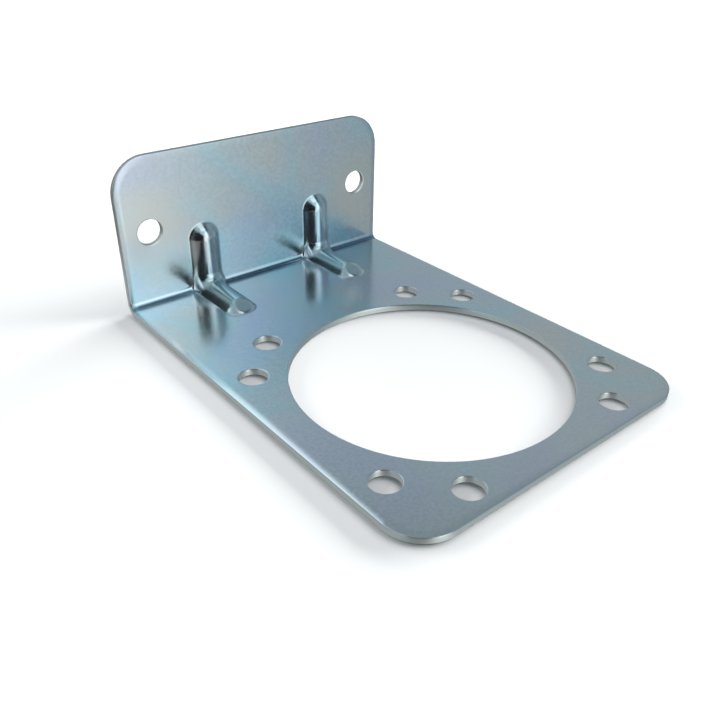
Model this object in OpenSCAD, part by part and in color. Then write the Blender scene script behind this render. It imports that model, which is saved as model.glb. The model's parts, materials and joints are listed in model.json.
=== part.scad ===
// Mounting bracket for a large round trailer socket.
// One folded steel sheet: a flat plate with the socket opening, a flange bent up along its back edge,
// and two ribs that are pressed across the bend from the outside.
// Origin: centre of the socket opening, on the underside of the plate. +Z is up, the flange is at +Y.

/* [Sheet] */
// Thickness of the sheet
sheet_t = 2; // [1.5:0.25:2.5]
// Inside radius of the bend between plate and flange
bend_r = 2; // [1:0.5:4]

/* [Plate] */
// Width of the plate and of the flange
plate_w = 102; // [98:1:130]
// Distance from the front screw holes to the front edge
front_edge = 7.5; // [6:0.5:30]
// Length from the centre of the socket opening to the back face of the flange
plate_back = 88; // [84:1:120]
// Radius of the two front corners of the plate
plate_corner_r = 11.5; // [2:0.5:13]

/* [Flange] */
// Height of the flange above the underside of the plate
flange_h = 50; // [42:1:80]
// Radius of the two upper corners of the flange
flange_corner_r = 11.5; // [2:0.5:14]

/* [Socket opening] */
// Diameter of the socket opening
socket_d = 81; // [60:0.5:84]
// Diameter of the eight screw holes around the socket opening
screw_d = 8.4; // [4:0.1:9]
// Longer distance between the screw holes of one set of four
screw_long = 83; // [80:0.5:86]
// Shorter distance between the screw holes of one set of four
screw_short = 56; // [52:0.5:62]

/* [Flange holes] */
// Diameter of the two holes in the flange
flange_hole_d = 8.4; // [4:0.1:11]
// Distance between the two holes in the flange
flange_hole_gap = 82; // [70:0.5:84]
// Height of the holes in the flange above the underside of the plate
flange_hole_z = 26; // [18:0.5:34]

/* [Ribs] */
// Distance between the middles of the two ribs
rib_gap = 45.5; // [20:0.5:56]
// Width of a rib where it leaves the sheet
rib_w = 11; // [10:0.25:13]
// Height of a rib above the inside face of the sheet
rib_h = 3.2; // [2.4:0.1:3.4]
// Slope of a rib's flanks, in degrees
rib_flank = 48; // [46:1:58]
// Radius at the root of a rib, where its flank runs out into the inside face
root_r = 0.6; // [0.4:0.1:1]
// Radius of a rib's crest in the corner between plate and flange
turn_r = 3; // [1:0.5:5]
// How much steeper a rib's flanks are in that corner, in degrees
turn_steep = 4; // [2:1:8]
// Length of a rib along the plate, from the inside face of the flange to its tip
rib_foot = 25.2; // [20:0.2:34]
// Length of a rib up the flange, from the upper face of the plate to its tip
rib_rise = 23.2; // [20:0.2:34]

/* [Hidden] */
$fn = 96;

zinc = [0.63, 0.70, 0.75];

// Room by which a cutting shape passes the faces that it cuts
clear = 1;

// Distance from the centre of the socket opening to the front edge
plate_front = screw_long / 2 + front_edge;

// Inside face of the flange, and the axis of the bend
flange_y = plate_back - sheet_t;
bend_y = flange_y - bend_r;
bend_z = sheet_t + bend_r;

// Section of a rib, with heights measured from the inside face of the sheet: a crest arc,
// a straight flank and a root arc, each tangent to the next. In a low, wide rib the two arcs
// meet at less than the wished slope, and the straight part falls away.
root_x = rib_w / 2;
flank_a = min(rib_flank, 2 * atan(rib_h / root_x));
crest_r = (root_x * sin(flank_a) - rib_h * cos(flank_a)) / (1 - cos(flank_a)) - root_r;
crest_z = rib_h - crest_r;

// Distance from the inside corner to the middle of a rib's round tip
foot_run = rib_foot - rib_w / 2;
rise_run = rib_rise - rib_w / 2;

// A face of the sheet that lies k outside its inside face, as everything on the inner side of it
module inner_side(k, front, top) {
    translate([-front, sheet_t - k])
        square([bend_y + front, top - sheet_t + k]);
    translate([-front, bend_z])
        square([flange_y + k + front, top - bend_z]);
    translate([bend_y, bend_z])
        circle(bend_r + k);
}

// The folded sheet, from its profile seen along the bend
module folded_sheet() {
    translate([-plate_w / 2, 0, 0])
        rotate([90, 0, 90])
            linear_extrude(plate_w)
                difference() {
                    inner_side(sheet_t, plate_front, flange_h);
                    inner_side(0, plate_front + clear, flange_h + clear);
                }
}

// What a round corner of radius r leaves of the square corner at the origin
module corner_waste(r) {
    translate([-r, -r, -clear])
        linear_extrude(sheet_t + 2 * clear)
            difference() {
                square(r + clear);
                circle(r);
            }
}

// Crest and straight flanks of a rib's section, with the flanks at a slope and down to a depth.
// Face k = 0 is the inside face of the sheet and k = sheet_t its outside.
module rib_wedge(k, depth, slope) {
    r = crest_r - k;
    join = [r * sin(slope), crest_z + r * cos(slope)];
    spread = (join[1] + depth) / tan(slope);
    polygon([join, [join[0] + spread, -depth], [-join[0] - spread, -depth], [-join[0], join[1]]]);
    intersection() {
        translate([0, crest_z])
            circle(r);
        translate([-r, join[1]])
            square([2 * r, r]);
    }
}

// Section of a rib with its root arcs
module rib_section(k, depth) {
    r = root_r + k;
    join = [root_x - r * sin(flank_a), root_r - r * cos(flank_a)];
    rib_wedge(k, depth, flank_a);
    difference() {
        for (side = [0, 1])
            mirror([side, 0])
                polygon([join, [root_x, join[1]], [root_x, -depth], [0, -depth]]);
        for (side = [-1, 1])
            translate([side * root_x, root_r])
                circle(r);
    }
}

// One leg of a rib from past the corner to its round tip, along -Y on the face z = 0
module rib_leg(k, depth, run) {
    translate([0, depth, 0])
        rotate([90, 0, 0])
            linear_extrude(run + depth)
                rib_section(k, depth);
    translate([0, -run, 0])
        rotate([0, 0, 180])
            rotate_extrude(angle = 180)
                intersection() {
                    rib_section(k, depth);
                    translate([0, -depth])
                        square([rib_w, depth + rib_h]);
                }
}

// The turn of a rib's crest between its two legs
module rib_turn(k, depth) {
    translate([0, -rib_h - turn_r, rib_h + turn_r])
        rotate([90, 0, 90])
            rotate([0, 0, -90])
                rotate_extrude(angle = 90)
                    translate([turn_r + rib_h, 0])
                        rotate(90)
                            rib_wedge(k, depth, flank_a + turn_steep);
}

// A whole rib, or the groove behind it, at the inside corner of the sheet
module rib(k, depth) {
    rib_leg(k, depth, foot_run);
    mirror([0, 1, 1])
        rib_leg(k, depth, rise_run);
    rib_turn(k, turn_r + rib_h + k);
}

// Places a rib at each of the two rib positions, in the corner between plate and flange
module at_ribs() {
    for (side = [-1, 1])
        translate([side * rib_gap / 2, flange_y, sheet_t])
            children();
}

// Two sets of four screw holes around the socket opening, one set a quarter turn from the other
module screw_holes() {
    for (x = [-1, 1], y = [-1, 1], half = [[screw_long, screw_short] / 2, [screw_short, screw_long] / 2])
        translate([x * half[0], y * half[1], -clear])
            cylinder(d = screw_d, h = sheet_t + 2 * clear);
}

// The two holes that take the bolts to the vehicle
module flange_holes() {
    for (side = [-1, 1])
        translate([side * flange_hole_gap / 2, plate_back + clear, flange_hole_z])
            rotate([90, 0, 0])
                cylinder(d = flange_hole_d, h = sheet_t + 2 * clear);
}

// What the four round corners of plate and flange leave
module round_corners() {
    for (side = [0, 1])
        mirror([side, 0, 0]) {
            translate([plate_w / 2, -plate_front, 0])
                mirror([0, 1, 0])
                    corner_waste(plate_corner_r);
            translate([plate_w / 2, plate_back, flange_h])
                rotate([90, 0, 0])
                    corner_waste(flange_corner_r);
        }
}

// The whole bracket: the folded sheet with its ribs raised inside and their grooves outside,
// then the openings and the outline
module bracket() {
    color(zinc)
        difference() {
            union() {
                folded_sheet();
                intersection() {
                    at_ribs() rib(0, sheet_t / 2);
                    translate([-plate_w / 2, 0, 0])
                        rotate([90, 0, 90])
                            linear_extrude(plate_w)
                                inner_side(sheet_t / 2, 0, flange_h);
                }
            }
            at_ribs() rib(sheet_t, sheet_t + clear);
            translate([0, 0, -clear])
                cylinder(d = socket_d, h = sheet_t + 2 * clear);
            screw_holes();
            flange_holes();
            round_corners();
        }
}

bracket();
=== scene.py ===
"""Looks of the trailer socket bracket: one folded, pressed and zinc-plated steel sheet.

The sheet is made as the press shop makes it. A flat blank is cut with its openings, its rims are rolled
over, and then every point of the blank is carried to its place on the folded sheet and its pressed ribs.
"""

import json
import logging
import math
from dataclasses import dataclass, field
from enum import Enum
from typing import Callable

import bmesh
import bpy
from mathutils import Matrix, Vector


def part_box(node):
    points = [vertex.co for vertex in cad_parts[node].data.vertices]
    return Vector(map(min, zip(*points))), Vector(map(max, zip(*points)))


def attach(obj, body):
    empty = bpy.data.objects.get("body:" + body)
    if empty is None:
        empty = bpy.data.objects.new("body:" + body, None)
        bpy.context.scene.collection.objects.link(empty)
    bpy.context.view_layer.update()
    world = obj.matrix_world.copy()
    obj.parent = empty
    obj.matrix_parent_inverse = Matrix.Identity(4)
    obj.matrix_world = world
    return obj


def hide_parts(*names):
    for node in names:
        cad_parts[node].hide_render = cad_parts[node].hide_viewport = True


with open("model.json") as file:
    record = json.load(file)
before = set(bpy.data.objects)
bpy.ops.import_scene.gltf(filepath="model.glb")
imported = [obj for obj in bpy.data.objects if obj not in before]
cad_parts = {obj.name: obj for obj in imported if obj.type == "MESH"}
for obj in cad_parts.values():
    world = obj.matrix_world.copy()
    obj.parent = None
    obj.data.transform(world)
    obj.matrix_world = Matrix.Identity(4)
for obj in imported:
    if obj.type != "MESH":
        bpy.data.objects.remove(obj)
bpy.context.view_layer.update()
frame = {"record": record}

MM = 0.001

# Distance within which two vertices are one
WELD = 0.01 * MM

# Inside radius of the bend, and radius of the sheet's four corners
BEND_RADIUS = 2 * MM
CORNER_RADIUS = 11.5 * MM

# Width of the rolled rim and number of sides of the socket opening, and of the small holes
SOCKET_RIM = 0.4 * MM
SOCKET_SIDES = 192
HOLE_RIM = 0.3 * MM
HOLE_SIDES = 56

Colour = tuple[float, float, float]
Span = tuple[float, float]
Socket = bpy.types.NodeSocket

log = logging.getLogger("bracket")


class Mark(Enum):
    """What the mesh tells its finish about each place."""

    CUT_DEPTH = "cut_depth"
    PRESSED = "pressed"


def smooth(share: float) -> float:
    """Eases a share between its ends, and holds it within 0 and 1."""
    share = min(1.0, max(0.0, share))
    return share * share * (3 - 2 * share)


@dataclass(frozen=True)
class Opening:
    """A round opening, by its place in the flat blank.

    Args:
        x: Place across the sheet.
        s: Place along the sheet, measured from the inside corner, with the flange on the plus side.
        radius: Radius of its wall.
        roll: Width of the rolled rim around it, on the inside face.
        segments: Number of sides of its circle.
    """

    x: float
    s: float
    radius: float
    roll: float
    segments: int

    def outward(self, co: Vector) -> Vector:
        """Direction out of the material at a place near the opening."""
        return Vector((self.x - co.x, self.s - co.y, 0)).normalized()

    def holds(self, co: Vector) -> bool:
        """Whether a place lies in the opening or on its rim."""
        return math.hypot(self.x - co.x, self.s - co.y) < self.radius + self.roll + WELD


@dataclass(frozen=True)
class RibForm:
    """Form of a pressed rib, in metres.

    Its section is a crest arc, a straight flank and a root arc, each tangent to the next.

    Args:
        spread: Distance from the middle of the sheet to the middle of a rib.
        width: Width where the rib leaves the sheet.
        height: Height of the crest over the inside face.
        slope: Slope of the foot's flanks, in degrees.
        rise_slope: Slope of the flanks on the flange, in degrees.
        corner_slope: Slope of the flanks in the corner, in degrees.
        slope_start: Distance from the corner at which the slope starts to change.
        slope_end: Distance from the corner at which the flanks have their full slope.
        root_radius: Radius at which the flank runs out into the sheet.
        turn_radius: Radius of the crest where it turns the corner.
        corner_radius: Radius of the sheet's bend at the foot of a rib's flanks.
        corner_start: Distance inside a rib's edge at which the bend starts to get its own radius back.
        corner_reach: Distance beside a rib at which it has it.
        foot: Length along the plate, from the inside corner to the tip.
        rise: Length up the flange, from the inside corner to the tip.
        ramp_blend: Height over which the flat ramp at the foot's tip runs into its round sides.
        flare: Share by which the rib widens in the corner.
        flare_reach: Distance from the corner at which that widening ends.
    """

    spread: float = 22.75 * MM
    width: float = 11.0 * MM
    height: float = 3.2 * MM
    slope: float = 51.0
    rise_slope: float = 47.0
    corner_slope: float = 57.0
    slope_start: float = 3.0 * MM
    slope_end: float = 10.0 * MM
    root_radius: float = 0.5 * MM
    turn_radius: float = 3.0 * MM
    corner_radius: float = 7.0 * MM
    corner_start: float = 1.5 * MM
    corner_reach: float = 1.0 * MM
    foot: float = 25.2 * MM
    rise: float = 23.2 * MM
    ramp_blend: float = 0.5 * MM
    flare: float = 0.03
    flare_reach: float = 4.5 * MM

    def section(self, r: float, slope: float) -> float:
        """Height of the rib's section.

        Args:
            r: Distance from the middle of the rib.
            slope: Slope of the flanks, in degrees.

        Returns:
            Height over the inside face of the sheet.
        """
        half, sine, cosine = self.width / 2, math.sin(math.radians(slope)), math.cos(math.radians(slope))
        arcs = (half * sine - self.height * cosine) / (1 - cosine)
        crest = arcs - self.root_radius
        crest_end, root_start = crest * sine, half - self.root_radius * sine
        if r >= half:
            return 0.0
        if r <= crest_end:
            return self.height - crest + math.sqrt(crest**2 - r * r)
        if r < root_start:
            return self.height - crest * (1 - cosine) - (r - crest_end) * sine / cosine
        return self.root_radius - math.sqrt(self.root_radius**2 - (half - r) ** 2)

    def turn_at(self, x: float, lift: float, bend_radius: float) -> float:
        """Radius on which the inside face turns the corner.

        Args:
            x: Distance from the middle of the rib, across it.
            lift: Height of the rib at that place.
            bend_radius: Radius of the bend away from the ribs.

        Returns:
            The radius.
        """
        past = abs(x) - self.width / 2 + self.corner_start
        share = smooth(past / (self.corner_reach + self.corner_start))
        root = self.corner_radius + (bend_radius - self.corner_radius) * share
        return root + (self.turn_radius - root) * lift / self.height

    def slope_at(self, s: float) -> float:
        """Slope of the flanks.

        Args:
            s: Place along the sheet, measured from the inside corner.

        Returns:
            The slope in degrees.
        """
        full = self.slope if s < 0 else self.rise_slope
        share = smooth((abs(s) - self.slope_start) / (self.slope_end - self.slope_start))
        return self.corner_slope + (full - self.corner_slope) * share

    def height_at(self, x: float, s: float) -> float:
        """Height of a rib over the inside face.

        Args:
            x: Distance from the middle of the rib, across it.
            s: Place along the sheet, measured from the inside corner.

        Returns:
            Height over the inside face, with the round tips at both ends.
        """
        length = self.foot if s < 0 else self.rise
        past = max(0.0, abs(s) - (length - self.width / 2))
        near = max(0.0, 1.0 - (s / self.flare_reach) ** 2)
        dome = self.section(math.hypot(x, past) / (1.0 + self.flare * near * near), self.slope_at(s))
        if s >= 0 or past <= 0:
            return dome
        ramp = self.height * max(0.0, 1 - past / (self.width / 2))
        gap = max(0.0, 1 - abs(dome - ramp) / self.ramp_blend)
        return max(0.0, min(dome, ramp) - self.ramp_blend * gap * gap / 4)


@dataclass
class FoldedSheet:
    """The folded sheet as a map from the flat blank to space.

    A place on the blank is (x, s, n): x across, s along from the inside corner, and n towards the inside,
    with n = 0 on the inside face.

    Args:
        thickness: Thickness of the sheet.
        bend_radius: Inside radius of the bend.
        plate_front: Distance from the row origin to the front edge.
        flange_y: Place of the flange's inside face.
        half_width: Half the width of the sheet.
        flange_top: Height of the flange's upper edge.
        burr: Width of the break along the outside edge of a cut wall.
        rib: Form of the two ribs.
    """

    thickness: float
    bend_radius: float
    plate_front: float
    flange_y: float
    half_width: float
    flange_top: float
    burr: float = 0.1 * MM
    rib: RibForm = field(default_factory=RibForm)

    def inside(self, x: float, s: float) -> Vector:
        """Point of the inside face.

        Args:
            x: Place across the blank.
            s: Place along the blank.

        Returns:
            The point in space.
        """
        off_rib = abs(x) - self.rib.spread
        lift = self.rib.height_at(off_rib, s)
        turn = self.rib.turn_at(off_rib, lift, self.bend_radius)
        start = lift + turn
        if s <= -start:
            return Vector((x, self.flange_y + s, self.thickness + lift))
        if s >= start:
            return Vector((x, self.flange_y - lift, self.thickness + s))
        angle = math.pi / 4 * (1 + s / start)
        return Vector((
            x,
            self.flange_y - start + turn * math.sin(angle),
            self.thickness + start - turn * math.cos(angle),
        ))

    def normal(self, x: float, s: float) -> Vector:
        """Direction towards the inside, square to the inside face.

        Args:
            x: Place across the blank.
            s: Place along the blank.

        Returns:
            A unit vector.
        """
        step = 0.02 * MM
        across = self.inside(x + step, s) - self.inside(x - step, s)
        along = self.inside(x, s + step) - self.inside(x, s - step)
        return across.cross(along).normalized()

    def place(self, flat: Vector) -> Vector:
        """Carries a point of the blank to its place on the folded sheet."""
        return self.inside(flat.x, flat.y) + flat.z * self.normal(flat.x, flat.y)


@dataclass
class Blank:
    """The flat blank, built with its openings and rolled rims.

    Args:
        sheet: The folded sheet that it becomes.
        openings: Its round openings.
        corner_radius: Radius of its four corners.
        corner_faces: Number of sides of a corner.
        roll: Width of the rolled rim along its outline.
        roll_depth: Depth by which a rolled rim falls.
        lip: Radius at which it runs out into the cut wall.
        roll_steps: Rows of faces over a rolled rim.
        end_roll: Share of the roll's depth at the front edge and at the flange's upper edge.
        roll_fade: Distance from the front edge at which the roll has its full depth.
        top_fade: Distance from the flange's upper edge at which it has its full depth.
        rib_margin: Width of the fine mesh beside a rib.
        bend_rows: Rows of faces over the bend.
        wall_tilt: Upward part of a face's normal, under which the face is part of a cut wall.
    """

    sheet: FoldedSheet
    openings: list[Opening]
    corner_radius: float
    corner_faces: int = 16
    roll: float = 2.3 * MM
    roll_depth: float = 0.30 * MM
    lip: float = 0.15 * MM
    roll_steps: int = 6
    end_roll: float = 0.3
    roll_fade: float = 100 * MM
    top_fade: float = 8 * MM
    rib_margin: float = 3.0 * MM
    bend_rows: int = 12
    wall_tilt: float = 0.7

    @property
    def cell(self) -> float:
        """Side of a face of the fine mesh."""
        return 2 * self.sheet.bend_radius / self.bend_rows

    @property
    def front(self) -> float:
        """Place of the front edge along the blank."""
        return -self.sheet.flange_y - self.sheet.plate_front

    @property
    def top(self) -> float:
        """Place of the flange's upper edge along the blank."""
        return self.sheet.flange_top - self.sheet.thickness

    def _grid(self, bm: bmesh.types.BMesh, low: Vector, high: Vector, columns: int, rows: int) -> None:
        """Adds a rectangle of faces between two corners.

        Args:
            bm: The mesh to add to.
            low: Its corner at the least x and s.
            high: The opposite corner.
            columns: Number of faces across.
            rows: Number of faces along.
        """
        middle, size = (low + high) / 2, high - low
        matrix = Matrix.Translation((middle.x, middle.y, 0)) @ Matrix.Diagonal((size.x, size.y, 1, 1))
        bmesh.ops.create_grid(bm, x_segments=columns, y_segments=rows, size=0.5, matrix=matrix)

    def _fine_zones(self, bm: bmesh.types.BMesh) -> None:
        """Adds the fine mesh of the ribs and the rows of the bend between them.

        Args:
            bm: The mesh to add to.
        """
        rib, cell, bend = self.sheet.rib, self.cell, self.sheet.bend_radius
        columns = 2 * math.ceil((rib.width / 2 + self.rib_margin) / cell)
        below = math.ceil((rib.foot + self.rib_margin) / cell)
        above = math.ceil((rib.rise + self.rib_margin) / cell)
        half = columns * cell / 2
        edge = self.sheet.half_width - self.roll
        for side in (-1, 1):
            middle = side * rib.spread
            low, high = Vector((middle - half, -below * cell)), Vector((middle + half, above * cell))
            self._grid(bm, low, high, columns, below + above)
            ends = sorted((side * edge, middle + side * half))
            self._grid(bm, Vector((ends[0], -bend)), Vector((ends[1], bend)), 1, self.bend_rows)
        inner = rib.spread - half
        self._grid(bm, Vector((-inner, -bend)), Vector((inner, bend)), 1, self.bend_rows)

    def _outline(self, bm: bmesh.types.BMesh, inner_end: float, outer_end: float) -> None:
        """Adds three sides of a rectangle with two round corners, open where it meets the bend.

        Args:
            bm: The mesh to add to.
            inner_end: Place along the blank where it meets the bend.
            outer_end: Place along the blank of its far side.
        """
        edge = self.sheet.half_width - self.roll
        low, high = sorted((inner_end, outer_end))
        middle = Matrix.Translation((0, (low + high) / 2, 0))
        made = bmesh.ops.create_grid(
            bm, x_segments=1, y_segments=1, size=0.5,
            matrix=middle @ Matrix.Diagonal((2 * edge, high - low, 1, 1)),
        )
        face = made["verts"][0].link_faces[0]
        far = [v for v in face.verts if abs(v.co.y - outer_end) < WELD]
        bmesh.ops.bevel(
            bm, geom=far, offset=self.corner_radius - self.roll, segments=self.corner_faces,
            profile=0.5, affect="VERTICES", material=-1,
        )
        face = next(f for f in bm.faces if len(f.verts) > 4)
        open_side = [e for e in face.edges if all(abs(v.co.y - inner_end) < WELD for v in e.verts)]
        bmesh.ops.delete(bm, geom=[face], context="FACES_ONLY")
        bmesh.ops.delete(bm, geom=open_side, context="EDGES")

    def _fill(self, bm: bmesh.types.BMesh, side: int) -> None:
        """Fills the flat part on one side of the bend, between the outline, the ribs and the openings.

        Args:
            bm: The mesh to add to.
            side: -1 for the plate, 1 for the flange.
        """
        bend = self.sheet.bend_radius
        rim = [
            e for e in bm.edges
            if len(e.link_faces) < 2 and all(side * v.co.y > bend - WELD for v in e.verts)
        ]
        bmesh.ops.triangle_fill(bm, edges=rim, use_beauty=True)

    def _roll_share(self, s: float) -> float:
        """Share of its full depth that the roll has at a place along the blank, less towards both ends."""
        share = smooth((s - self.front) / self.roll_fade) * smooth((self.top - s) / self.top_fade)
        return self.end_roll + (1 - self.end_roll) * share

    def _rim_steps(self, roll: float) -> list[tuple[float, float, float]]:
        """Lists the steps that take a rim over the roll and down to the outside face.

        Args:
            roll: Width of the roll.

        Returns:
            For each step, its distance outward, the fall of the roll, and its height without that fall.
        """
        depth = self.roll_depth * min(1.0, roll / self.roll)
        lip = min(self.lip, roll / 3)
        burr = self.sheet.burr
        shares = [k / self.roll_steps for k in range(1, self.roll_steps + 1)]
        steps = [((roll - lip) * k, -depth * k * k, 0.0) for k in shares]
        for angle in (math.pi / 4, math.pi / 2):
            steps.append((roll - lip + lip * math.sin(angle), -depth, lip * (math.cos(angle) - 1)))
        return steps + [(roll, 0.0, burr - self.sheet.thickness), (roll - burr, 0.0, -self.sheet.thickness)]

    def _roll_rim(
        self, bm: bmesh.types.BMesh, rim: list[bmesh.types.BMEdge],
        outward: Callable[[Vector], Vector], roll: float,
    ) -> None:
        """Rolls a rim over and takes it down to the outside face.

        Args:
            bm: The mesh to add to.
            rim: The closed ring of edges where the roll starts.
            outward: Direction out of the material at a place of the blank.
            roll: Width of the roll.
        """
        reached = 0.0
        for out, fall, n in self._rim_steps(roll):
            made = bmesh.ops.extrude_edge_only(bm, edges=rim)
            ring = {g for g in made["geom"] if isinstance(g, bmesh.types.BMVert)}
            for v in ring:
                v.co += (out - reached) * outward(v.co)
                v.co.z = n + fall * self._roll_share(v.co.y)
            edges = [g for g in made["geom"] if isinstance(g, bmesh.types.BMEdge)]
            rim = [e for e in edges if all(v in ring for v in e.verts)]
            reached = out

    def _out_of_outline(self, co: Vector) -> Vector:
        """Direction out of the sheet at a place near its outline.

        Args:
            co: The place on the blank.

        Returns:
            A unit vector in the blank's plane.
        """
        wide = self.sheet.half_width - self.corner_radius
        low, high = self.front + self.corner_radius, self.top - self.corner_radius
        core = Vector((min(max(co.x, -wide), wide), min(max(co.y, low), high), co.z))
        return (co - core).normalized()

    def _mark_walls(self, bm: bmesh.types.BMesh) -> None:
        """Writes how deep each corner of a cut wall lies, from 0 at the inside face to 1 at the outside.

        Args:
            bm: The mesh to write to.
        """
        layer = bm.loops.layers.float.new(Mark.CUT_DEPTH.value)
        bm.normal_update()
        for face in bm.faces:
            if abs(face.normal.z) < self.wall_tilt:
                for loop in face.loops:
                    loop[layer] = -loop.vert.co.z / self.sheet.thickness

    def build(self) -> bmesh.types.BMesh:
        """Builds the whole blank, still flat.

        Returns:
            A closed mesh in blank coordinates.
        """
        bm = bmesh.new()
        bend, burr = self.sheet.bend_radius, self.sheet.burr
        self._fine_zones(bm)
        self._outline(bm, -bend, self.front + self.roll)
        self._outline(bm, bend, self.top - self.roll)
        for hole in self.openings:
            bmesh.ops.create_circle(
                bm, cap_ends=False, segments=hole.segments, radius=hole.radius + hole.roll,
                matrix=Matrix.Translation((hole.x, hole.s, 0)),
            )
        bmesh.ops.remove_doubles(bm, verts=bm.verts, dist=WELD)
        self._fill(bm, -1)
        self._fill(bm, 1)

        rims = [(self._out_of_outline, self.roll, [])]
        rims += [(hole.outward, hole.roll, []) for hole in self.openings]
        for edge in [e for e in bm.edges if len(e.link_faces) == 1]:
            middle = (edge.verts[0].co + edge.verts[1].co) / 2
            found = [k for k, hole in enumerate(self.openings, 1) if hole.holds(middle)]
            rims[found[0] if found else 0][2].append(edge)

        back = bmesh.ops.duplicate(bm, geom=bm.verts[:] + bm.edges[:] + bm.faces[:])
        copies = back["vert_map"]
        bmesh.ops.reverse_faces(bm, faces=[g for g in back["geom"] if isinstance(g, bmesh.types.BMFace)])
        for v in (g for g in back["geom"] if isinstance(g, bmesh.types.BMVert)):
            v.co.z = -self.sheet.thickness
        for outward, roll, rim in rims:
            for v in {v for e in rim for v in e.verts}:
                copies[v].co += (roll - burr) * outward(v.co)
            self._roll_rim(bm, rim, outward, roll)
        bmesh.ops.remove_doubles(bm, verts=bm.verts, dist=WELD)
        bmesh.ops.recalc_face_normals(bm, faces=bm.faces)
        self._mark_walls(bm)
        return bm


@dataclass
class Bracket:
    """The bracket: builds its mesh and dresses it.

    Args:
        blank: The blank that it is folded from.
        name: Name of the piece.
        sharp: Angle between two faces from which their edge is drawn sharp, in degrees.
        full_press: Share of a rib's height from which a place counts as fully pressed.
        flat_weight: How strongly the large flat faces lead the shading of their rims.
    """

    blank: Blank
    name: str = "zinc_plated_bracket"
    sharp: float = 30.0
    full_press: float = 0.5
    flat_weight: int = 100

    def build(self) -> bpy.types.Object:
        """Folds the blank and makes the piece.

        Returns:
            The piece, in place of the CAD node.
        """
        bm = self.blank.build()
        pressed = bm.verts.layers.float.new(Mark.PRESSED.value)
        rib = self.blank.sheet.rib
        for v in bm.verts:
            lift = rib.height_at(abs(v.co.x) - rib.spread, v.co.y)
            v[pressed] = min(1.0, lift / (self.full_press * rib.height))
            v.co = self.blank.sheet.place(v.co)
        mesh = bpy.data.meshes.new(self.name)
        bm.to_mesh(mesh)
        bm.free()
        mesh.shade_smooth()
        mesh.set_sharp_from_angle(angle=math.radians(self.sharp))
        piece = bpy.data.objects.new(self.name, mesh)
        bpy.context.collection.objects.link(piece)
        keep = piece.modifiers.new("flat faces lead", "WEIGHTED_NORMAL")
        keep.keep_sharp = True
        keep.weight = self.flat_weight
        return piece

    def dress(self, piece: bpy.types.Object, finish: "ZincPlate") -> None:
        """Gives the piece its finish and its body, and hides the CAD node that it stands for.

        Args:
            piece: The piece.
            finish: Its finish.
        """
        piece.data.materials.append(finish.material())
        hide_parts("bracket")
        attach(piece, "root")


class Nodes:
    """A node tree under construction, with short calls for its nodes.

    Args:
        tree: The tree to add to.
    """

    def __init__(self, tree: bpy.types.NodeTree) -> None:
        """Keeps the tree."""
        self.tree = tree

    def add(
        self, kind: str, inputs: dict[str | int, object] | None = None, **settings: object,
    ) -> bpy.types.Node:
        """Adds a node.

        Args:
            kind: The node's type.
            inputs: Values or output sockets for its inputs, by name or number.
            settings: Values for its properties.

        Returns:
            The node.
        """
        node = self.tree.nodes.new(kind)
        for name, value in settings.items():
            setattr(node, name, value)
        for key, value in (inputs or {}).items():
            if isinstance(value, bpy.types.NodeSocket):
                self.tree.links.new(value, node.inputs[key])
            else:
                node.inputs[key].default_value = value
        return node

    def math(self, operation: str, *values: object) -> Socket:
        """Adds a Math node with values or output sockets for its inputs, and returns its output."""
        return self.add("ShaderNodeMath", dict(enumerate(values)), operation=operation).outputs[0]

    def product(self, *values: object) -> Socket:
        """Multiplies values.

        Args:
            values: Two or more values or output sockets.

        Returns:
            Their product.
        """
        result = values[0]
        for value in values[1:]:
            result = self.math("MULTIPLY", result, value)
        return result

    def ease(self, value: Socket, ends: Span, results: Span = (0.0, 1.0)) -> Socket:
        """Adds a smooth step of a value.

        Args:
            value: The value to read.
            ends: Values at which the step starts and ends.
            results: Results before the step and after it.

        Returns:
            The result.
        """
        node = self.add("ShaderNodeMapRange", {
            "Value": value, "From Min": ends[0], "From Max": ends[1],
            "To Min": results[0], "To Max": results[1],
        }, interpolation_type="SMOOTHSTEP")
        return node.outputs["Result"]

    def ramp(self, value: Socket, stops: list[tuple[float, Colour]], steps: str = "EASE") -> Socket:
        """Adds a colour ramp.

        Args:
            value: The value to read.
            stops: Places on the ramp and their colours.
            steps: How colours run between two stops.

        Returns:
            The colour.
        """
        node = self.add("ShaderNodeValToRGB", {"Fac": value})
        band = node.color_ramp
        band.interpolation = steps
        while len(band.elements) < len(stops):
            band.elements.new(0.5)
        for element, (place, colour) in zip(band.elements, stops):
            element.position = place
            element.color = (*colour, 1.0)
        return node.outputs["Color"]

    def mix(self, amount: object, first: object, second: object, blend: str = "MIX") -> Socket:
        """Mixes two colours.

        Args:
            amount: Share of the second.
            first: A colour or an output socket.
            second: A colour or an output socket.
            blend: How they are mixed.

        Returns:
            The mixed colour.
        """
        values = [v if isinstance(v, bpy.types.NodeSocket) else (*v, 1.0) for v in (first, second)]
        inputs = {0: amount, 6: values[0], 7: values[1]}
        return self.add("ShaderNodeMix", inputs, data_type="RGBA", blend_type=blend).outputs[2]

    def grey(self, value: Socket) -> Socket:
        """Makes a grey of a value."""
        return self.add("ShaderNodeCombineColor", {0: value, 1: value, 2: value}).outputs[0]

    def mark(self, mark: Mark) -> Socket:
        """Reads one of the mesh's marks."""
        return self.add("ShaderNodeAttribute", attribute_name=mark.value).outputs["Fac"]

    def noise(self, place: Socket, size: float, detail: float = 2.0, roughness: float = 0.5) -> Socket:
        """Adds noise with features of a size in metres, and finer layers over them."""
        inputs = {"Vector": place, "Scale": 1.0 / size, "Detail": detail, "Roughness": roughness}
        return self.add("ShaderNodeTexNoise", inputs).outputs["Fac"]


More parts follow.
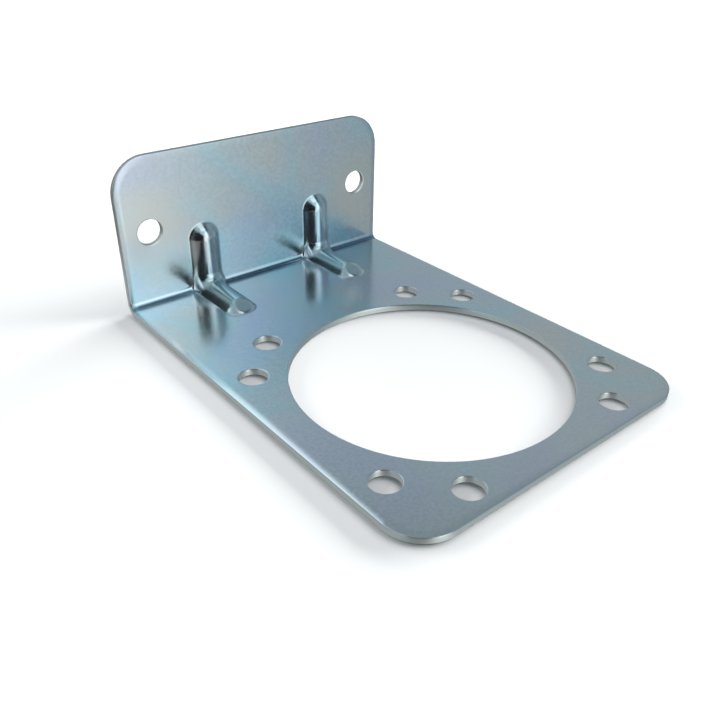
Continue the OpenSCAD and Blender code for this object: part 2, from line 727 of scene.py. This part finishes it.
@dataclass(frozen=True)
class ZincPlate:
    """Bright zinc plate with a blue passivation, over rolled sheet with punched edges.

    A pair gives the heights or distances between which one look runs into the next, in metres, unless it
    says otherwise.

    Args:
        corner_y: Place of the flange's inside face.
        corner_z: Height of the plate's upper face.
        bolt_hole: Distance of a bolt hole from the middle, and its height.
        violet: First colour of the soft patches.
        steel: Second colour, which is most of the plate.
        cyan: Third colour.
        straw: Last colour.
        patch: Size of the soft patches.
        patch_stops: Noise values of violet, steel, cyan, steel and straw.
        cool_top: Heights over which the plate's cooler patches give way to the flange's.
        cool_shift: Shift of the noise that makes the plate's patches cooler.
        halo: Yellowish ground round the bolt holes.
        halo_reach: Distances from a hole's middle over which it fades.
        halo_share: Its share at the hole.
        bend_shade: Painted shade, a dark blue over the lower half of the bend, inside the corner.
        bend_shade_front: Distances in front of the flange between which the painted shade starts.
        bend_shade_top: Heights over the plate between which it ends.
        foot: Painted reflection, a teal tint over the ribs' feet on the plate.
        foot_reflection_share: Share of that painted reflection there.
        foot_top: Heights between which a foot ends.
        wall: Cut walls of the plate, with painted light.
        shaded_flange_wall: Cut walls of the flange: the same cut with painted shade.
        wall_shade_change: Heights between which the painted light of the one runs into the painted shade of
            the other.
        wall_start: Share of the sheet's thickness at which the plated rim gives way to a cut wall.
        torn: Shares of the thickness between which a wall gets its full torn look.
        torn_share: Share of the torn look before and after.
        mottle: Size of the fine mottling.
        mottle_noise: Noise values between which it changes.
        mottle_shade: Its darkest and lightest shade.
        mottle_rough: Its lowest and highest roughness.
        press_polish: Roughness that the press took off the ribs.
        torn_rough: Roughness that a cut wall has more.
        flange_rough: Roughness that the flange has more, low and high up.
        flange_change: Heights between which that changes.
        foot_rough: Roughness that the ribs' feet have more.
        wave: Size of the waves in the rolled sheet.
        wave_depth: Depth of those waves.
        peel_depth: Depth of the mottling.
    """

    corner_y: float
    corner_z: float
    bolt_hole: Span
    violet: Colour = (0.645, 0.69, 0.77)
    steel: Colour = (0.655, 0.715, 0.745)
    cyan: Colour = (0.60, 0.735, 0.775)
    straw: Colour = (0.70, 0.715, 0.69)
    patch: float = 30 * MM
    patch_stops: tuple[float, ...] = (0.28, 0.42, 0.54, 0.64, 0.78)
    cool_top: Span = (3 * MM, 16 * MM)
    cool_shift: float = 0.05
    halo: Colour = (0.74, 0.71, 0.64)
    halo_reach: Span = (5 * MM, 18 * MM)
    halo_share: float = 0.7
    bend_shade: Colour = (0.25, 0.36, 0.45)
    bend_shade_front: Span = (2.4 * MM, 1.5 * MM)
    bend_shade_top: Span = (0.5 * MM, 1.0 * MM)
    foot: Colour = (0.50, 0.70, 0.73)
    foot_reflection_share: float = 0.6
    foot_top: Span = (5 * MM, 9 * MM)
    wall: Colour = (0.74, 0.76, 0.71)
    shaded_flange_wall: Colour = (0.34, 0.33, 0.30)
    wall_shade_change: Span = (10 * MM, 30 * MM)
    wall_start: float = 0.16
    torn: Span = (0.3, 0.5)
    torn_share: Span = (0.75, 1.0)
    mottle: float = 0.9 * MM
    mottle_noise: Span = (0.3, 0.7)
    mottle_shade: Span = (0.95, 1.02)
    mottle_rough: Span = (0.16, 0.20)
    press_polish: float = 0.03
    torn_rough: float = 0.3
    flange_rough: Span = (0.01, 0.07)
    flange_change: Span = (4 * MM, 14 * MM)
    foot_rough: float = 0.07
    wave: float = 7.0 * MM
    wave_depth: float = 0.012 * MM
    peel_depth: float = 0.006 * MM

    def _from_bolt(self, nodes: Nodes, across: Socket, lift: Socket) -> Socket:
        """Distance from the middle of the nearer bolt hole, seen along the flange's normal.

        Args:
            nodes: The tree to add to.
            across: Place across the sheet.
            lift: Height of the place.

        Returns:
            The distance.
        """
        aside = nodes.math("SUBTRACT", nodes.math("ABSOLUTE", across), self.bolt_hole[0])
        seen = nodes.add("ShaderNodeCombineXYZ", {0: aside, 1: lift}).outputs[0]
        hole = (0.0, self.bolt_hole[1], 0.0)
        return nodes.add("ShaderNodeVectorMath", {0: seen, 1: hole}, operation="DISTANCE").outputs["Value"]

    def _bend_shade_share(self, nodes: Nodes, along: Socket, lift: Socket, pressed: Socket) -> Socket:
        """Share of the painted shade on the bend's lower half at a place, without the ribs.

        Args:
            nodes: The tree to add to.
            along: Place along Y.
            lift: Height of the place.
            pressed: How far the place is on a rib.

        Returns:
            1 on the bend's lower half, 0 away from it.
        """
        start, end = (self.corner_y - distance for distance in self.bend_shade_front)
        low, high = (self.corner_z + height for height in self.bend_shade_top)
        return nodes.product(
            nodes.ease(along, (start, end)), nodes.ease(lift, (low, high), (1.0, 0.0)),
            nodes.math("SUBTRACT", 1.0, pressed),
        )

    def _patches(self, nodes: Nodes, place: Socket, lift: Socket, mottle: Socket) -> Socket:
        """Colour of the soft patches with the fine mottling over them.

        Args:
            nodes: The tree to add to.
            place: Coordinates of the place.
            lift: Height of the place.
            mottle: The fine mottling.

        Returns:
            The colour.
        """
        cooler = nodes.ease(lift, self.cool_top, (self.cool_shift, 0.0))
        value = nodes.math("SUBTRACT", nodes.noise(place, self.patch, detail=0.0), cooler)
        colours = (self.violet, self.steel, self.cyan, self.steel, self.straw)
        tint = nodes.ramp(value, list(zip(self.patch_stops, colours)))
        shade = nodes.ease(mottle, self.mottle_noise, self.mottle_shade)
        return nodes.mix(1.0, tint, nodes.grey(shade), "MULTIPLY")

    def _rough(
        self, nodes: Nodes, lift: Socket, mottle: Socket, pressed: Socket, foot: Socket, torn: Socket,
    ) -> Socket:
        """Roughness at a place.

        Args:
            nodes: The tree to add to.
            lift: Height of the place.
            mottle: The fine mottling.
            pressed: How far the place is on a rib.
            foot: How far it is on a rib's foot.
            torn: How far it is on a cut wall.

        Returns:
            The roughness.
        """
        polish = nodes.product(pressed, self.press_polish)
        flange = nodes.math(
            "SUBTRACT", nodes.ease(lift, self.flange_change, self.flange_rough),
            nodes.product(pressed, self.flange_rough[1]),
        )
        rough = nodes.math("SUBTRACT", nodes.ease(mottle, self.mottle_noise, self.mottle_rough), polish)
        rough = nodes.math("ADD", rough, nodes.product(torn, self.torn_rough))
        rough = nodes.math("ADD", rough, nodes.math("MAXIMUM", flange, 0.0))
        return nodes.math("ADD", rough, nodes.product(foot, self.foot_rough))

    def _relief(self, nodes: Nodes, place: Socket, mottle: Socket) -> Socket:
        """Normal with the waves of the rolled sheet and the fine mottling.

        Args:
            nodes: The tree to add to.
            place: Coordinates of the place.
            mottle: The fine mottling.

        Returns:
            The normal.
        """
        waves = nodes.noise(place, self.wave, detail=1.0)
        wave = nodes.add("ShaderNodeBump", {"Strength": 1.0, "Distance": self.wave_depth, "Height": waves})
        peel = nodes.add("ShaderNodeBump", {
            "Strength": 1.0, "Distance": self.peel_depth, "Height": mottle, "Normal": wave.outputs[0],
        })
        return peel.outputs[0]

    def material(self) -> bpy.types.Material:
        """Builds the material's nodes.

        Returns:
            The material.
        """
        made = bpy.data.materials.new("zinc_plate")
        made.use_nodes = True
        nodes = Nodes(made.node_tree)
        shader = made.node_tree.nodes["Principled BSDF"]
        place = nodes.add("ShaderNodeTexCoord").outputs["Object"]
        across, along, lift = nodes.add("ShaderNodeSeparateXYZ", {0: place}).outputs
        pressed, depth = nodes.mark(Mark.PRESSED), nodes.mark(Mark.CUT_DEPTH)
        mottle = nodes.noise(place, self.mottle, detail=3.0, roughness=0.6)
        # The ribs' feet: mask for their painted teal reflection and for their extra roughness
        foot = nodes.product(pressed, nodes.ease(lift, self.foot_top, (1.0, 0.0)))
        cut = nodes.math("GREATER_THAN", depth, self.wall_start)
        torn = nodes.product(cut, nodes.ease(depth, self.torn, self.torn_share))

        tint = self._patches(nodes, place, lift, mottle)
        halo = nodes.ease(self._from_bolt(nodes, across, lift), self.halo_reach, (self.halo_share, 0.0))
        tint = nodes.mix(halo, tint, self.halo)
        # Painted shade: the lower half of the bend, inside the corner, darkened blue
        tint = nodes.mix(self._bend_shade_share(nodes, along, lift, pressed), tint, self.bend_shade)
        # Painted reflection: the ribs' feet tinted teal
        tint = nodes.mix(nodes.product(foot, self.foot_reflection_share), tint, self.foot)
        # Painted light and shade: one cut finish, lighter on the plate's walls and darker on the flange's
        wall = nodes.mix(nodes.ease(lift, self.wall_shade_change), self.wall, self.shaded_flange_wall)

        shader.inputs["Metallic"].default_value = 1.0
        made.node_tree.links.new(nodes.mix(torn, tint, wall), shader.inputs["Base Color"])
        rough = self._rough(nodes, lift, mottle, pressed, foot, torn)
        made.node_tree.links.new(rough, shader.inputs["Roughness"])
        made.node_tree.links.new(self._relief(nodes, place, mottle), shader.inputs["Normal"])
        return made


@dataclass(frozen=True)
class Panel:
    """A soft-edged panel that the metal mirrors. Angles are in degrees.

    Args:
        azimuth: Directions of its left and right edges.
        elevation: Heights of its lower and upper edges.
        colour: Its colour.
        slant: Rise of the upper edge for each degree to the right, measured from the left edge.
        soft: Width over which an edge fades.
    """

    azimuth: Span
    elevation: Span
    colour: Colour
    slant: float = 0.0
    soft: float = 6.0

    def share(self, nodes: Nodes, azimuth: Socket, height: Socket) -> Socket:
        """Adds the share of the panel in each direction.

        Args:
            nodes: The tree to add to.
            azimuth: Azimuth of the direction, in degrees.
            height: Elevation of the direction, in degrees.

        Returns:
            1 on the panel, 0 away from it.
        """
        half = self.soft / 2
        left, right, low, high = ((edge - half, edge + half) for edge in (*self.azimuth, *self.elevation))
        fall = nodes.product(nodes.math("SUBTRACT", azimuth, self.azimuth[0]), self.slant)
        under = nodes.math("SUBTRACT", height, fall)
        return nodes.product(
            nodes.ease(azimuth, left), nodes.ease(azimuth, right, (1.0, 0.0)),
            nodes.ease(height, low), nodes.ease(under, high, (1.0, 0.0)),
        )


@dataclass(frozen=True)
class StudioSky:
    """The room that the metal mirrors: a tall soft window in front and a dark screen behind the camera.

    Angles are in degrees. Azimuth 0 is in front of the flange, 90 to the right, and 180 behind the flange.
    Each band lists the room's colour at some azimuths.

    Args:
        low_band: The room towards the floor.
        middle_band: The room from a little over the horizon.
        top_band: The room high up.
        zenith: The ceiling.
        backdrop: What the camera itself sees past the floor.
        middle_start: Heights over which the low band gives way to the middle band.
        top_start: Heights over which that gives way to the top band.
        zenith_start: Heights over which that gives way to the ceiling.
        panels: Panels in front of the bands, each over the ones before it.
    """

    low_band: tuple[tuple[float, Colour], ...] = (
        (-180, (0.42, 0.45, 0.47)), (-110, (0.34, 0.38, 0.40)), (-76, (0.50, 0.56, 0.60)),
        (-64, (0.20, 0.22, 0.24)), (-40, (0.20, 0.20, 0.20)), (-16, (0.12, 0.12, 0.13)),
        (-6, (0.90, 0.94, 0.96)), (2, (1.35, 1.40, 1.42)), (13, (1.30, 1.35, 1.38)),
        (20, (0.98, 1.02, 1.05)), (25, (0.72, 0.74, 0.74)), (29, (0.53, 0.56, 0.56)),
        (33, (0.40, 0.48, 0.51)), (38, (0.34, 0.41, 0.45)), (55, (0.28, 0.34, 0.39)),
        (90, (0.27, 0.34, 0.39)), (180, (0.42, 0.45, 0.47)),
    )
    middle_band: tuple[tuple[float, Colour], ...] = (
        (-180, (0.80, 0.92, 1.00)), (-135, (1.00, 1.12, 1.18)), (-96, (1.10, 1.22, 1.28)),
        (-74, (0.95, 1.10, 1.15)), (-62, (0.38, 0.46, 0.52)), (-30, (0.38, 0.44, 0.50)),
        (-8, (0.46, 0.60, 0.66)), (1, (0.76, 0.90, 0.95)), (7, (1.12, 1.24, 1.28)),
        (13, (1.25, 1.38, 1.46)), (20, (1.50, 1.75, 1.90)), (24, (1.00, 1.32, 1.50)),
        (28, (0.72, 0.92, 1.02)), (31, (0.58, 0.82, 0.92)), (34, (0.30, 0.46, 0.57)),
        (37, (0.17, 0.27, 0.37)), (60, (0.22, 0.29, 0.34)), (100, (0.30, 0.36, 0.38)),
        (116, (0.40, 0.44, 0.45)), (130, (0.375, 0.445, 0.49)), (143, (0.355, 0.43, 0.48)),
        (152, (0.41, 0.50, 0.57)), (165, (0.62, 0.76, 0.85)), (180, (0.80, 0.92, 1.00)),
    )
    top_band: tuple[tuple[float, Colour], ...] = (
        (-180, (1.25, 1.40, 1.45)), (-145, (0.80, 0.92, 0.98)), (-110, (0.42, 0.50, 0.56)),
        (-60, (0.32, 0.39, 0.45)), (-30, (0.42, 0.60, 0.68)), (-8, (0.50, 0.72, 0.78)),
        (8, (0.56, 0.72, 0.76)), (18, (1.10, 1.30, 1.40)), (24, (0.80, 1.05, 1.20)),
        (29, (0.64, 0.86, 0.96)), (34, (0.34, 0.50, 0.62)), (39, (0.22, 0.32, 0.42)),
        (70, (0.22, 0.30, 0.36)), (116, (0.40, 0.44, 0.45)), (130, (0.375, 0.445, 0.49)),
        (143, (0.36, 0.43, 0.48)), (153, (0.45, 0.54, 0.60)), (160, (1.10, 1.24, 1.30)),
        (180, (1.25, 1.40, 1.45)),
    )
    zenith: Colour = (0.42, 0.47, 0.52)
    backdrop: Colour = (1.0, 1.0, 1.0)
    middle_start: Span = (-12, 14)
    top_start: Span = (27, 42)
    zenith_start: Span = (52, 62)
    panels: tuple[Panel, ...] = (
        Panel((90, 150), (42, 72), (0.27, 0.32, 0.34), soft=8),
        Panel((-18, 42), (52, 68), (1.10, 1.26, 1.28), soft=5),
        Panel((34, 60), (36, 54), (0.07, 0.14, 0.21), soft=6),
        Panel((46, 71), (49, 72), (0.02, 0.05, 0.08), soft=4),
        Panel((71, 92), (44, 70), (0.22, 0.30, 0.35), soft=4),
        Panel((-70, -34), (-16, 32), (0.015, 0.017, 0.022), slant=0.45, soft=4),
        Panel((-40, -7), (-16, 47), (0.015, 0.017, 0.022), slant=-0.80, soft=5),
    )

    def build(self) -> None:
        """Makes the world."""
        world = bpy.data.worlds.new("studio")
        world.use_nodes = True
        nodes = Nodes(world.node_tree)
        view = nodes.add("ShaderNodeTexCoord").outputs["Generated"]
        x, y, z = nodes.add("ShaderNodeSeparateXYZ", {0: view}).outputs
        azimuth = nodes.math("DEGREES", nodes.math("ARCTAN2", x, nodes.math("MULTIPLY", y, -1.0)))
        height = nodes.math("DEGREES", nodes.math("ARCSINE", z))
        turn = nodes.math("ADD", nodes.math("DIVIDE", azimuth, 360.0), 0.5)
        bands = (self.low_band, self.middle_band, self.top_band)
        low, middle, top = (
            nodes.ramp(turn, [(angle / 360 + 0.5, colour) for angle, colour in band], "LINEAR")
            for band in bands
        )
        sky = nodes.mix(nodes.ease(height, self.middle_start), low, middle)
        sky = nodes.mix(nodes.ease(height, self.top_start), sky, top)
        sky = nodes.mix(nodes.ease(height, self.zenith_start), sky, self.zenith)
        for panel in self.panels:
            sky = nodes.mix(panel.share(nodes, azimuth, height), sky, panel.colour)
        seen = nodes.add("ShaderNodeLightPath").outputs["Is Camera Ray"]
        sky = nodes.mix(seen, sky, self.backdrop)
        world.node_tree.links.new(sky, world.node_tree.nodes["Background"].inputs["Color"])
        bpy.context.scene.world = world


@dataclass(frozen=True)
class Lamp:
    """A soft lamp that lights the floor and that the metal doesn't mirror. Angles are in degrees.

    Args:
        azimuth: Direction of its middle, as in the room.
        elevation: Height of its middle.
        wide: Angle that it fills from side to side, seen from the bracket.
        high: Angle that it fills from bottom to top.
        level: Brightness that it gives the open floor, where 1 is white.
    """

    azimuth: float
    elevation: float
    wide: float
    high: float
    level: float


def direction(azimuth: float, elevation: float) -> Vector:
    """Unit vector from the bracket to an azimuth and elevation in the room, in degrees."""
    az, el = math.radians(azimuth), math.radians(elevation)
    return Vector((math.sin(az) * math.cos(el), -math.cos(az) * math.cos(el), math.sin(el)))


@dataclass
class Studio:
    """Pale floor and soft lamps.

    Args:
        lamp_distance: Distance of the lamps from the bracket.
        floor_shade: Share of the light that the floor gives back.
        floor_reach: Half the width of the floor.
        floor_drop: Room between the bracket's underside and the floor.
        lamps: The lamps.
    """

    lamp_distance: float = 2.0
    floor_shade: float = 0.30
    floor_reach: float = 1.2
    floor_drop: float = 0.1 * MM
    lamps: tuple[Lamp, ...] = (
        Lamp(95, 52, 50, 36, 0.46), Lamp(86, 11, 60, 12, 0.48), Lamp(-160, 16, 50, 20, 0.23),
    )

    def floor(self) -> None:
        """Adds the floor."""
        bm = bmesh.new()
        middle = Matrix.Translation((0, 0, -self.floor_drop))
        bmesh.ops.create_grid(bm, x_segments=1, y_segments=1, size=self.floor_reach, matrix=middle)
        mesh = bpy.data.meshes.new("floor")
        bm.to_mesh(mesh)
        bm.free()
        floor = bpy.data.objects.new("floor", mesh)
        bpy.context.collection.objects.link(floor)
        made = bpy.data.materials.new("pale_floor")
        made.use_nodes = True
        shader = made.node_tree.nodes["Principled BSDF"]
        shade = self.floor_shade
        shader.inputs["Base Color"].default_value = (shade, shade, shade, 1)
        shader.inputs["Roughness"].default_value = 1.0
        shader.inputs["Specular IOR Level"].default_value = 0.0
        mesh.materials.append(made)
        floor.visible_glossy = False

    def light(self, lamp: Lamp) -> None:
        """Adds a lamp.

        Args:
            lamp: What it is like.
        """
        away = direction(lamp.azimuth, lamp.elevation)
        data = bpy.data.lights.new("lamp", "AREA")
        data.shape = "RECTANGLE"
        data.size = 2 * self.lamp_distance * math.tan(math.radians(lamp.wide / 2))
        data.size_y = 2 * self.lamp_distance * math.tan(math.radians(lamp.high / 2))
        # Power at which the open floor, with its own shade, shows that level
        data.energy = lamp.level * (math.pi * self.lamp_distance) ** 2 / (self.floor_shade * away.z)
        light = bpy.data.objects.new("lamp", data)
        bpy.context.collection.objects.link(light)
        face = away.to_track_quat("Z", "Y").to_matrix().to_4x4()
        light.matrix_world = Matrix.Translation(self.lamp_distance * away) @ face
        light.visible_glossy = False
        light.visible_camera = False

    def build(self) -> None:
        """Builds the whole studio."""
        self.floor()
        for lamp in self.lamps:
            self.light(lamp)
        StudioSky().build()
        bpy.context.scene.view_settings.view_transform = "Standard"


@dataclass
class PhotoCamera:
    """The camera at the photograph's angle.

    Args:
        azimuth: Direction of the camera from the bracket, in degrees, as in the room.
        elevation: Height of the camera over the horizon, in degrees.
        roll: Turn about the line of sight, in degrees.
        distance: Distance to the point aimed at.
        aim: The point aimed at.
        lens: Focal length, in millimetres.
        sensor: Width of the sensor, in millimetres.
        clip: Nearest and farthest distance that it sees.
    """

    azimuth: float = -39.76
    elevation: float = 31.58
    roll: float = 0.97
    distance: float = 212.8 * MM
    aim: tuple[float, float, float] = (-14.13 * MM, 14.66 * MM, 3.63 * MM)
    lens: float = 37.28
    sensor: float = 36.0
    clip: Span = (0.01, 20.0)

    def build(self) -> None:
        """Makes the camera and gives it to the scene."""
        data = bpy.data.cameras.new("camera")
        data.lens, data.sensor_width = self.lens, self.sensor
        data.clip_start, data.clip_end = self.clip
        camera = bpy.data.objects.new("camera", data)
        bpy.context.collection.objects.link(camera)
        back = direction(self.azimuth, self.elevation)
        turn = Matrix.Rotation(math.radians(self.roll), 4, "Z")
        face = back.to_track_quat("Z", "Y").to_matrix().to_4x4()
        camera.matrix_world = Matrix.Translation(Vector(self.aim) + self.distance * back) @ face @ turn
        bpy.context.scene.camera = camera


def round_openings(sheet: FoldedSheet, mounts: dict[str, dict]) -> list[Opening]:
    """Lists the sheet's openings from the record's mounts.

    Args:
        sheet: The folded sheet.
        mounts: The mounts by name.

    Returns:
        The socket opening, its eight screw holes and the flange's two bolt holes.
    """
    socket = mounts["socket_opening"]["dims"]
    made = [Opening(0, -sheet.flange_y, socket["r_mm"] * MM, SOCKET_RIM, SOCKET_SIDES)]
    for name in ("socket_screws_wide", "socket_screws_long"):
        screws = mounts[name]["dims"]
        x, y = screws["spacing_x_mm"] / 2 * MM, screws["spacing_y_mm"] / 2 * MM
        for i in (-1, 1):
            for j in (-1, 1):
                radius = screws["hole_r_mm"] * MM
                made.append(Opening(i * x, j * y - sheet.flange_y, radius, HOLE_RIM, HOLE_SIDES))
    bolts = mounts["vehicle_bolts"]
    x, radius = bolts["dims"]["spacing_x_mm"] / 2 * MM, bolts["dims"]["hole_r_mm"] * MM
    rise = bolts["pos_m"][2] - sheet.thickness
    made += [Opening(i * x, rise, radius, HOLE_RIM, HOLE_SIDES) for i in (-1, 1)]
    return made


def main() -> None:
    """Builds the pieces in order and reports them."""
    mounts = {mount["name"]: mount for mount in frame["record"]["mounts"]}
    thickness = mounts["socket_opening"]["dims"]["length_mm"] * MM
    bolts = mounts["vehicle_bolts"]
    low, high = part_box("bracket")
    sheet = FoldedSheet(
        thickness=thickness, bend_radius=BEND_RADIUS, plate_front=-low.y, flange_y=high.y - thickness,
        half_width=high.x, flange_top=high.z,
    )
    bracket = Bracket(Blank(sheet, round_openings(sheet, mounts), CORNER_RADIUS))
    piece = bracket.build()
    bolt_hole = (bolts["dims"]["spacing_x_mm"] / 2 * MM, bolts["pos_m"][2])
    bracket.dress(piece, ZincPlate(sheet.flange_y, sheet.thickness, bolt_hole))
    log.info("bracket: %d faces", len(piece.data.polygons))
    studio = Studio()
    studio.build()
    log.info("studio: floor and %d lamps", len(studio.lamps))
    PhotoCamera().build()
    log.info("camera")


if __name__ == "__main__":
    logging.basicConfig(level=logging.INFO, format="%(message)s")
    main()
